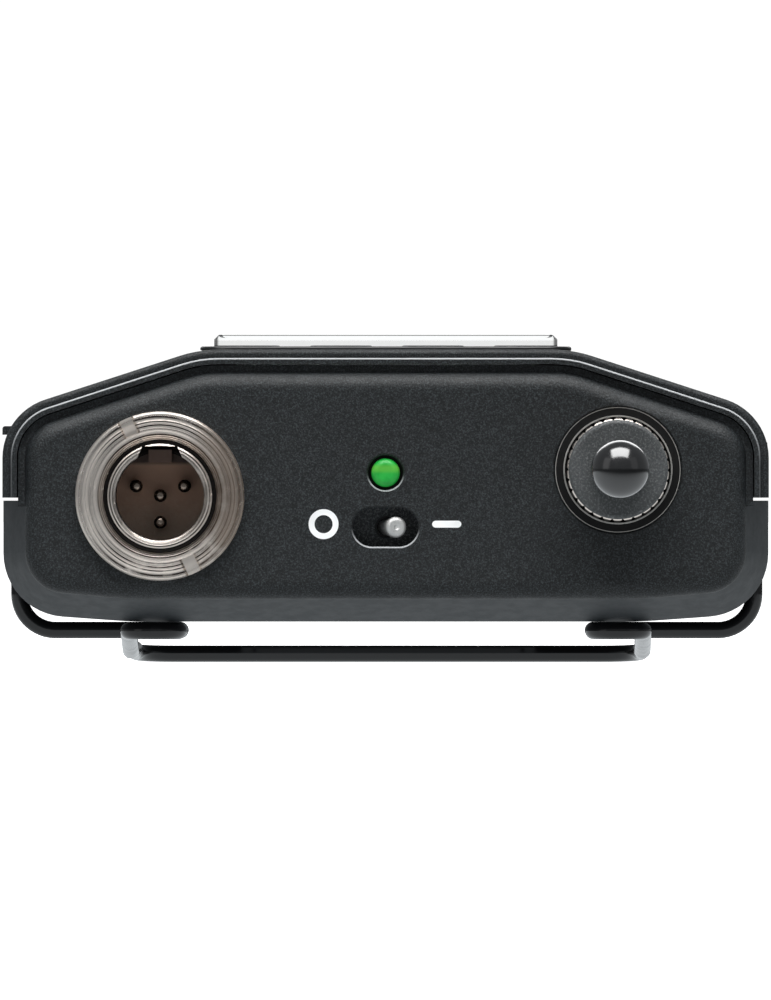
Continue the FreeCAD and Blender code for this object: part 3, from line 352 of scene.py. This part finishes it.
# black rubber with a thin bright metal rim near its outer edge; on the jack the black is painted shade
def rimmedRubberAndShadeMaterial(name, rimRadius):
    g = Graph(name)
    at = g.mapped(antennaAxis)
    rim = g.ramp(g.radius(at), rimRadius - rimmedRubberAndShade["soft"], rimRadius)
    fine = g.noise(at, 3.5, 3.0, 0.6)
    rubberAndShade = g.blend(fine, rimmedRubberAndShade["dark"], rimmedRubberAndShade["pale"])
    shade = g.blend(rim, rubberAndShade, rimmedRubberAndShade["rim"])
    return g.finish(color=shade, metal=rim, rough=g.ramp(fine, 0.3, 0.7, 0.5, 0.7), specular=0.2,
                    normal=g.bump(fine, 0.02, 0.7))


insulator = {"color": rgb(0.70, 0.42, 0.29), "paleMottle": rgb(0.88, 0.66, 0.51),
             "key": rgb(0.10, 0.055, 0.038), "keyZ": 2.6, "paleFromZ": 1.6, "paleToZ": -2.4}


# brown moulded insulator, paler and mottled towards its lower side and dark on its key
def insulatorMaterial(name):
    g = Graph(name)
    at = g.mapped(socketAxis)
    paleMottle = g.noise(at, 3.4, 4.0, 0.7)
    z = g.split(at)[2]
    lower = g.ramp(g.maths("MULTIPLY_ADD", paleMottle, 2.6, z), insulator["paleFromZ"], insulator["paleToZ"])
    shade = g.blend(lower, insulator["color"], insulator["paleMottle"])
    shade = g.blend(g.ramp(z, insulator["keyZ"], insulator["keyZ"] + 0.4), shade, insulator["key"])
    return g.finish(color=shade, rough=g.ramp(paleMottle, 0.3, 0.7, 0.40, 0.6), normal=g.bump(paleMottle, 0.03, 0.7))


lamp = {"green": rgb(0.008, 0.24, 0.030), "pale": rgb(0.016, 0.30, 0.04), "band": rgb(0.075, 0.32, 0.035),
        "dark": rgb(0.004, 0.006, 0.004), "reflectionZ": 0.35, "shadeFromY": 0.7, "glow": 0.30}


# green epoxy that glows a little from inside, with a painted yellow reflection across its upper middle
# and painted shade in its hole
def lampMaterial(name):
    g = Graph(name)
    at = g.mapped((0, panelY, middle("status_lamp")[2]))
    y, z = g.split(at)[1:]
    swirl = g.noise(at, 1.2, 3.0)
    away = g.maths("ABSOLUTE", g.maths("SUBTRACT", z, lamp["reflectionZ"]))
    shade = g.blend(g.ramp(swirl, 0.35, 0.65), lamp["green"], lamp["pale"])
    # painted reflection: a yellower band across the lamp's upper middle
    shade = g.blend(g.ramp(away, 0.1, 0.5, 0.8, 0.0), shade, lamp["band"])
    # painted shade: dark behind shadeFromY, in the hole around the lamp
    shade = g.blend(g.ramp(y, lamp["shadeFromY"], lamp["shadeFromY"] + 0.4), shade, lamp["dark"])
    return g.finish(color=shade, rough=g.ramp(swirl, 0.3, 0.7, 0.30, 0.42), specular=0.3,
                    normal=g.bump(swirl, 0.01, 0.3), glow=shade, glowStrength=lamp["glow"])


lens = {"hazy": rgb(0.74, 0.75, 0.745), "clear": rgb(0.80, 0.81, 0.805), "edge": rgb(0.03, 0.03, 0.03),
        "endShade": 0.45, "topShade": 0.14, "topGap": 0.03, "ior": 1.01, "coat": 0.35, "haze": 0.04}


# clear acrylic with faint moulding ripple, and painted shade on its two chamfered ends and in a thin line
# just below its top, where its chamfers look dark
def lensMaterial(name):
    g = Graph(name)
    low, high = span("display_lens")
    at = g.mapped(middle("display_lens"))
    parts = g.split(at)
    halfWidth = (high[0] - low[0]) / 2
    top = (high[2] - low[2]) / 2
    haze = g.noise(at, 2.0, 4.0, 0.7)
    ripple = g.noise(at, 0.25, 2.0)
    shade = g.blend(haze, lens["hazy"], lens["clear"])
    out = g.maths("ABSOLUTE", parts[0])
    ends = g.ramp(out, halfWidth - lens["endShade"], halfWidth - lens["endShade"] / 2)
    above = g.ramp(parts[2], top - lens["topShade"], top - lens["topShade"] / 2)
    under = g.ramp(parts[2], top - lens["topGap"], top - lens["topGap"] / 2, 1.0, 0.0)
    upper = g.maths("MULTIPLY", above, under)
    # painted shade on the chamfered ends and just below the top, where the chamfers look dark
    shade = g.blend(g.maths("MAXIMUM", ends, upper), shade, lens["edge"])
    return g.finish(color=shade, rough=g.ramp(haze, 0.3, 0.7, 0.0, lens["haze"]), through=1.0,
                    ior=lens["ior"], normal=g.bump(ripple, 0.01, 0.15), coat=lens["coat"],
                    coatRough=lens["haze"])


board = {"mask": rgb(0.006, 0.07, 0.025), "track": rgb(0.02, 0.17, 0.06), "cell": 0.55,
         "flatten": (0.6, 0.6, 0.1)}


# green solder mask over copper tracks
def boardMaterial(name):
    g = Graph(name)
    tracks = g.cells(g.mapped((0, 0, 0), board["flatten"]), board["cell"], "DISTANCE_TO_EDGE")
    fine = g.noise(g.mapped(), 3.0, 3.0)
    line = g.ramp(tracks, 0.05, 0.09, 1.0, 0.0)
    shade = g.blend(line, board["mask"], board["track"])
    normal = g.bump(g.maths("MULTIPLY_ADD", fine, 0.2, line), 0.03, 0.6)
    return g.finish(color=shade, rough=g.ramp(fine, 0.3, 0.7, 0.25, 0.4), normal=normal)


display = {"cell": rgb(0.20, 0.25, 0.21), "gap": rgb(0.26, 0.31, 0.27), "perMm": 21.0}


# grey-green liquid crystal with its fine cell grid, sin(x) * sin(y)
def displayMaterial(name):
    g = Graph(name)
    at = g.mapped()
    x, y = g.split(at)[:2]
    across = g.maths("SINE", g.maths("MULTIPLY", x, display["perMm"]))
    grid = g.maths("MULTIPLY", across, g.maths("SINE", g.maths("MULTIPLY", y, display["perMm"])))
    cloud = g.noise(at, 0.2, 2.0)
    shade = g.blend(g.ramp(grid, -0.2, 0.9), display["cell"], display["gap"])
    rough = g.ramp(cloud, 0.3, 0.7, 0.22, 0.34)
    return g.finish(color=shade, rough=rough, normal=g.bump(grid, 0.01, 0.2))


foam = {"pore": rgb(0.006, 0.006, 0.006), "wall": rgb(0.035, 0.035, 0.036), "scale": 1.8, "depth": 0.25}


# open-cell foam
def foamMaterial(name):
    g = Graph(name)
    pores = g.cells(g.mapped(), foam["scale"])
    shade = g.blend(g.ramp(pores, 0.1, 0.6), foam["pore"], foam["wall"])
    normal = g.bump(pores, foam["depth"], 1.0)
    return g.finish(color=shade, rough=g.ramp(pores, 0.1, 0.6, 0.8, 0.95), normal=normal)


cellWrap = {"bandFrom": 14.8, "endFrom": 24.0, "dark": rgb(0.012, 0.013, 0.015),
            "band": rgb(0.42, 0.20, 0.07), "steel": rgb(0.55, 0.55, 0.56)}


# printed battery sleeve: dark middle, copper-coloured bands, brushed foil and bare steel ends
def cellWrapMaterial(name):
    g = Graph(name)
    along = g.maths("ABSOLUTE", g.split(g.mapped())[0])
    brush = g.noise(g.mapped((0, 0, 0), (0.2, 3, 3)), 2.0, 4.0, 0.6)
    band = g.ramp(along, cellWrap["bandFrom"], cellWrap["bandFrom"] + 0.2)
    ends = g.ramp(along, cellWrap["endFrom"], cellWrap["endFrom"] + 0.1)
    shade = g.blend(ends, g.blend(band, cellWrap["dark"], cellWrap["band"]), cellWrap["steel"])
    metal = g.maths("MAXIMUM", g.maths("MULTIPLY", band, 0.7), ends)
    rough = g.ramp(brush, 0.3, 0.7, 0.25, 0.4)
    return g.finish(color=shade, metal=metal, rough=rough, normal=g.bump(brush, 0.008, 0.5))


label = {"foil": rgb(0.33, 0.34, 0.35), "line": rgb(0.02, 0.02, 0.02), "lineFrom": 0.9, "lineTo": 1.3}


# blank silver foil label with a fine border line
def labelMaterial(name):
    g = Graph(name)
    low, high = span("rating_label")
    half = (high - low) / 2
    centre = (low + high) / 2
    x, y = g.split(g.mapped(centre))[:2]
    fromSide = g.maths("SUBTRACT", half[0], g.maths("ABSOLUTE", x))
    fromEnd = g.maths("SUBTRACT", half[1], g.maths("ABSOLUTE", y))
    inset = g.maths("MINIMUM", fromSide, fromEnd)
    line = g.maths("MULTIPLY", g.ramp(inset, label["lineFrom"], label["lineFrom"] + 0.1),
                   g.ramp(inset, label["lineTo"], label["lineTo"] - 0.1))
    brush = g.noise(g.mapped(centre, (0.15, 4, 1)), 2.0, 3.0)
    shade = g.blend(line, label["foil"], label["line"])
    rough = g.ramp(brush, 0.3, 0.7, 0.32, 0.48)
    return g.finish(color=shade, metal=0.6, rough=rough, normal=g.bump(brush, 0.006, 0.5))


# puts a material on CAD nodes or on new pieces
def paint(material, *names):
    for name in names:
        item = nodes.get(name) or bpy.data.objects[name]
        if not item.material_slots:
            item.data.materials.append(material)
        for slot in item.material_slots:
            slot.material = material


# depth of the panel's rounded edge, where its texture ends, and half heights of two of its holes
panel = {"edge": 1.5, "lampHole": 1.51, "switchHole": 1.68}


def paintCase():
    holes = ((middle("status_lamp")[2], panel["lampHole"]),
             (middle("power_switch_seal")[2], panel["switchHole"]))
    paint(powderCoatMaterial("caseCoat", panelY + panel["edge"], None, holes), "back_case")
    # the cover's front edge gets the painted highlight along its lip
    paint(powderCoatMaterial("coverCoat", None, span("front_cover")[0][1]), "front_cover")
    paint(powderCoatMaterial("doorCoat"), "battery_door")
    paint(mouldedMaterial("blackPlastic", rgb(0.006, 0.0065, 0.007), (0.3, 0.45)),
          "display_bezel", "door_latch_left", "door_latch_right")
    paint(mouldedMaterial("keyRubber", rgb(0.035, 0.037, 0.04), (0.55, 0.75), 3.0, 0.02),
          "back_key", "down_key", "up_key", "select_key", "key_membrane")
    paint(lensMaterial("lensAcrylic"), "display_lens")
    paint(displayMaterial("displayGlass"), "lcd_module")
    paint(glossMaterial("darkWindow", rgb(0.012, 0.003, 0.005)), "infrared_window")
    paint(brushedMetalMaterial("blackScrew", rgb(0.05, 0.05, 0.055), 0.25, 0.4), "case_screws")
    paint(labelMaterial("foilLabel"), "rating_label")
    paint(glossMaterial("clipEnamel", rgb(0.003, 0.003, 0.0035), (0.10, 0.2)), "clip_frame", "clip_tongue")


# rings per millimetre, and how far back the turned front reaches and where painted shade begins in the
# mouth
socketFinish = {"nutRings": 4.0, "barrelRings": 8.0, "turnedDepth": 0.5, "unshadedDepth": 0.3}


def paintPanel():
    turnedTo = span("socket_nut")[0][1] + socketFinish["turnedDepth"]
    # painted shade inside the barrel begins this far behind its mouth
    shadeStartY = span("socket_shell")[0][1] + socketFinish["unshadedDepth"]
    paint(turnedNickelMaterial("nutNickel", socketFinish["nutRings"], turnedTo), "socket_nut")
    paint(turnedNickelMaterial("barrelNickel", socketFinish["barrelRings"], shadedFromY=shadeStartY),
          "socket_shell")
    paint(brushedMetalMaterial("pinNickel", rgb(0.27, 0.22, 0.185), 0.2, 0.3), "contact_pins")
    paint(insulatorMaterial("insulator"), "socket_insert")
    paint(mouldedMaterial("socketRubber", rgb(0.004, 0.004, 0.004), (0.5, 0.7), specular=0.2),
          "socket_gasket")
    paint(collarMaterial("collarMetal"), "antenna_collar")
    # painted shade: the jack's metal face inside its bright rim is coloured black, as in the collar's shade
    paint(rimmedRubberAndShadeMaterial("jackShadedFace", rimmedRubberAndShade["jackRimR"]), "antenna_jack")
    paint(rimmedRubberAndShadeMaterial("wellGasket", rimmedRubberAndShade["gasketRimR"]), "antenna_gasket")
    paint(mouldedMaterial("baseMoulding", rgb(0.040, 0.043, 0.044), (0.5, 0.7), 6.0, 0.03, 0.4,
                          rgb(0.13, 0.135, 0.137)), "antenna_base")
    paint(glossMaterial("whipGloss", rgb(0.003, 0.003, 0.0035), (0.14, 0.2), 1.9), "antenna_whip")
    paint(brushedMetalMaterial("leverMetal", rgb(0.60, 0.60, 0.59), 0.52, 0.64), "power_switch_lever")
    paint(mouldedMaterial("pocketFloor", rgb(0.030, 0.035, 0.038), (0.5, 0.7), 6.0, 0.04, 0.4,
                          rgb(0.22, 0.23, 0.235)), "power_switch_seal")
    paint(lampMaterial("lampEpoxy"), "status_lamp")


def paintInside():
    paint(brushedMetalMaterial("springNickel", rgb(0.62, 0.60, 0.57), 0.2, 0.36),
          "antenna_jack_nut", "battery_contacts", "battery_springs", "lamp_leads", "door_hinge_pin",
          "latch_spring_left", "latch_spring_right", "rf_shield", "board_screws")
    paint(mouldedMaterial("innerPlastic", rgb(0.010, 0.011, 0.012)),
          "power_switch_body", "board_link", "battery_cradle", "antenna_lead")
    paint(mouldedMaterial("lightGuide", rgb(0.75, 0.76, 0.74), (0.3, 0.45)), "lcd_backlight")
    paint(boardMaterial("solderMask"), "main_board", "rf_board", "panel_board")
    paint(mouldedMaterial("chipEpoxy", rgb(0.009, 0.009, 0.010), (0.45, 0.6)), "board_chips")
    paint(foamMaterial("doorFoam"), "door_pad")
    paint(cellWrapMaterial("cellWrap"), "battery_front", "battery_rear")


# a closed mesh from a grid of points that joins round along its first direction
def meshFromGrid(name, points, closedAcross):
    rows, columns = points.shape[:2]
    index = np.arange(rows * columns).reshape(rows, columns)
    u = np.arange(rows)
    v = np.arange(columns if closedAcross else columns - 1)
    uu, vv = np.meshgrid(u, v, indexing="ij")
    un, vn = (uu + 1) % rows, (vv + 1) % columns
    faces = np.stack([index[uu, vv], index[un, vv], index[un, vn], index[uu, vn]], axis=-1).reshape(-1, 4)
    mesh = bpy.data.meshes.new(name)
    mesh.from_pydata((points.reshape(-1, 3) * mm).tolist(), [], faces.tolist())
    work = bmesh.new()
    work.from_mesh(mesh)
    bmesh.ops.remove_doubles(work, verts=work.verts, dist=1e-7)
    bmesh.ops.recalc_face_normals(work, faces=work.faces)
    work.to_mesh(mesh)
    work.free()
    item = bpy.data.objects.new(name, mesh)
    scene.collection.objects.link(item)
    return item


inkOutline = {"steps": 96, "firstAngle": 0.01, "leastR": 0.02, "sink": 0.004}


# ink in the shape of a rounded rectangle, solid or as a line of the given width; its outline at angle t
# is u = sign(cos t)(halfU - r) + r cos t and v = sign(sin t)(halfV - r) + r sin t
def inkShape(name, body, centre, halves, corner, ink, line=None, facing="front", turn=0.0):
    t = np.linspace(0, 2 * np.pi, inkOutline["steps"], endpoint=False) + inkOutline["firstAngle"]
    cos, sin = np.cos(t), np.sin(t)

    def outline(inset):
        r = max(corner - inset, inkOutline["leastR"])
        return np.stack([np.sign(cos) * (halves[0] - inset - r) + r * cos,
                         np.sign(sin) * (halves[1] - inset - r) + r * sin], axis=-1)

    outer = outline(0)
    inner = outline(line) if line else outer * 0
    rings = np.stack([inner, outer, outer, inner], axis=1)
    lift = np.array([0.0, 0.0, ink, ink]) - inkOutline["sink"]
    u = rings[..., 0] * math.cos(turn) - rings[..., 1] * math.sin(turn)
    v = rings[..., 0] * math.sin(turn) + rings[..., 1] * math.cos(turn)
    lift = np.broadcast_to(lift, u.shape)
    local = (u, -lift, v) if facing == "front" else (u, v, lift)
    item = meshFromGrid(name, np.stack(local, axis=-1) + np.array(centre), line is not None)
    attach(item, body)
    return item.name


panelMarks = {"offX": -5.33, "onX": 5.27, "z": 8.42, "ringR": 1.29, "ringLine": 0.51,
              "barHalf": 1.25, "barR": 0.30, "ink": 0.012}


# a ring and a bar, the usual off and on marks, either side of the switch
def makePanelMarks(white):
    p = panelMarks
    ring = inkShape("off_mark", "pack", (p["offX"], panelY, p["z"]), (p["ringR"], p["ringR"]), p["ringR"],
                    p["ink"], p["ringLine"])
    bar = inkShape("on_mark", "pack", (p["onX"], panelY, p["z"]), (p["barHalf"], p["barR"]), p["barR"],
                   p["ink"])
    paint(white, ring, bar)


keyMarks = {"half": 0.75, "r": 0.11, "ink": 0.012, "spread": 0.48, "dotR": 0.45, "lean": 40.0}


# generic symbols: a ring to go back, a chevron down, a chevron up and a solid dot to select
def makeKeyMarks(white):
    k = keyMarks
    lean = math.radians(k["lean"])
    names = []
    for key in ("back_key", "down_key", "up_key", "select_key"):
        x, y, z = middle(key)
        top = span(key)[1][2]
        if key == "back_key":
            names.append(inkShape("back_mark", key, (x, y, top), (k["half"], k["half"]), k["half"],
                                  k["ink"], k["r"] * 2, "top"))
        elif key == "select_key":
            names.append(inkShape("select_mark", key, (x, y, top), (k["dotR"], k["dotR"]), k["dotR"],
                                  k["ink"], None, "top"))
        else:
            way = 1 if key == "up_key" else -1
            for side in (-1, 1):
                place = (x + side * k["spread"], y, top)
                tag = key.replace("key", "mark") + ("_left" if side < 0 else "_right")
                names.append(inkShape(tag, key, place, (k["half"], k["r"]), k["r"], k["ink"], None,
                                      "top", -side * way * lean))
    paint(white, *names)


screenMarks = {"ink": 0.02, "inset": 5.0, "bars": 9, "barPitch": 1.5, "barHalf": 0.5, "barR": 0.1,
               "firstHeight": 0.6, "growth": 0.34, "batteryInset": 5.2, "batteryRise": 1.2,
               "batteryHalf": (1.9, 1.0), "batteryR": 0.3, "batteryLine": 0.25, "cells": 3,
               "cellPitch": 1.05, "cellHalf": (0.36, 0.55), "cellR": 0.08, "ruleLow": 3.4, "ruleHigh": 4.4,
               "ruleInset": 3.2, "ruleHalf": 0.08, "ruleR": 0.05}


# a level meter of growing bars, a battery symbol and two rules across the display
def makeScreenMarks(dark):
    s = screenMarks
    low, high = span("lcd_module")
    top = high[2]
    base = low[1] + s["inset"]
    names = []

    def mark(name, x, y, halves, corner, line=None):
        names.append(inkShape(name, "pack", (x, y, top), halves, corner, s["ink"], line, "top"))

    for i in range(s["bars"]):
        half = s["firstHeight"] + i * s["growth"]
        x = low[0] + s["inset"] + i * s["barPitch"]
        mark(f"meter_{i}", x, base + half, (s["barHalf"], half), s["barR"])
    x, y = high[0] - s["batteryInset"], base + s["batteryRise"]
    mark("battery_mark", x, y, s["batteryHalf"], s["batteryR"], s["batteryLine"])
    for i in range(s["cells"]):
        mark(f"battery_bar_{i}", x + (i - 1) * s["cellPitch"], y, s["cellHalf"], s["cellR"])
    for i, y in enumerate((low[1] + s["ruleLow"], high[1] - s["ruleHigh"])):
        mark(f"rule_{i}", 0, y, (high[0] - s["ruleInset"], s["ruleHalf"]), s["ruleR"])
    paint(dark, *names)


studio = {"floorDrop": 0.02, "floorHalf": 20.0, "floorGlow": 1.1, "floorBounce": rgb(0.92, 0.97, 1.0),
          "floorTone": (rgb(0.80, 0.80, 0.80), rgb(0.84, 0.84, 0.84)), "floorScale": 0.004,
          "bounceNear": 0.85, "bounceFar": 0.08, "nearR": 125.0, "farR": 200.0,
          "around": rgb(0.93, 0.97, 1.0), "aroundStrength": 0.25, "seenStrength": 1.05}


# white to the eye, also through the clear lens; in reflections and on the underside a soft glow that
# fades with distance
def makeFloor():
    z = (clipLow - studio["floorDrop"]) * mm
    h = studio["floorHalf"]
    mesh = bpy.data.meshes.new("floor")
    mesh.from_pydata([(-h, -h, z), (h, -h, z), (h, h, z), (-h, h, z)], [], [(0, 1, 2, 3)])
    floor = bpy.data.objects.new("floor", mesh)
    scene.collection.objects.link(floor)
    g = Graph("paleFloor")
    at = g.mapped()
    shade = g.blend(g.noise(at, studio["floorScale"], 2.0), *studio["floorTone"])
    g.finish(color=shade, rough=0.9, specular=0.0, glow=rgb(1, 1, 1), glowStrength=studio["floorGlow"])
    bounce = g.tree.nodes.new("ShaderNodeEmission")
    bounce.inputs["Color"].default_value = studio["floorBounce"]
    x, y = g.split(at)[:2]
    away = g.maths("SQRT", g.maths("MULTIPLY_ADD", x, x, g.maths("MULTIPLY", y, y)))
    strength = g.ramp(away, studio["nearR"], studio["farR"], studio["bounceNear"], studio["bounceFar"])
    g.join(strength, bounce.inputs["Strength"])
    path = g.tree.nodes.new("ShaderNodeLightPath")
    mix = g.tree.nodes.new("ShaderNodeMixShader")
    seen = g.maths("MAXIMUM", path.outputs["Is Camera Ray"], path.outputs["Is Transmission Ray"])
    g.join(seen, mix.inputs[0])
    g.join(bounce.outputs[0], mix.inputs[1])
    g.join(g.shader.outputs[0], mix.inputs[2])
    g.join(mix.outputs[0], g.tree.nodes["Material Output"].inputs["Surface"])
    floor.data.materials.append(g.material)


# white behind the object, also through its clear lens, and dimmer as a light source
def makeWorld():
    world = bpy.data.worlds.new("studio")
    scene.world = world
    world.use_nodes = True
    tree = world.node_tree
    lit = tree.nodes["Background"]
    seen = tree.nodes.new("ShaderNodeBackground")
    path = tree.nodes.new("ShaderNodeLightPath")
    either = tree.nodes.new("ShaderNodeMath")
    mix = tree.nodes.new("ShaderNodeMixShader")
    either.operation = "MAXIMUM"
    lit.inputs[0].default_value = studio["around"]
    lit.inputs[1].default_value = studio["aroundStrength"]
    seen.inputs[0].default_value = rgb(1, 1, 1)
    seen.inputs[1].default_value = studio["seenStrength"]
    tree.links.new(path.outputs["Is Camera Ray"], either.inputs[0])
    tree.links.new(path.outputs["Is Transmission Ray"], either.inputs[1])
    tree.links.new(either.outputs[0], mix.inputs[0])
    tree.links.new(lit.outputs[0], mix.inputs[1])
    tree.links.new(seen.outputs[0], mix.inputs[2])
    tree.links.new(mix.outputs[0], tree.nodes["World Output"].inputs[0])


# place and size in metres, and power, of a broad box overhead, weak ones at the sides and one behind
lights = {"topLight": ((0, -0.32, 0.72), (0.8, 0.6), 12.0),
          "leftLight": ((-0.8, -0.55, 0.35), (0.5, 0.7), 0.40),
          "rightLight": ((0.8, -0.55, 0.35), (0.5, 0.7), 0.15),
          "backLight": ((0, 0.9, 0.5), (0.9, 0.5), 4.0)}


def softbox(name, place, size, power):
    light = bpy.data.lights.new(name, "AREA")
    light.shape = "RECTANGLE"
    light.size, light.size_y = size
    light.energy = power
    item = bpy.data.objects.new(name, light)
    scene.collection.objects.link(item)
    item.location = place
    item.rotation_euler = (-Vector(place)).to_track_quat("-Z", "Y").to_euler()


def makeStudio():
    makeFloor()
    makeWorld()
    for name, (place, size, power) in lights.items():
        softbox(name, place, size, power)
    scene.view_settings.view_transform = "Standard"


paintCase()
paintPanel()
paintInside()
print("materials on", len(nodes), "nodes")
white = mouldedMaterial("whiteInk", rgb(0.80, 0.81, 0.81), (0.45, 0.6), 4.0, 0.01)
dark = mouldedMaterial("darkInk", rgb(0.012, 0.014, 0.013), (0.3, 0.4), 4.0, 0.004)
makePanelMarks(white)
makeKeyMarks(white)
makeScreenMarks(dark)
print("marks printed")
makeStudio()
print("studio ready")
bpy.context.view_layer.update()
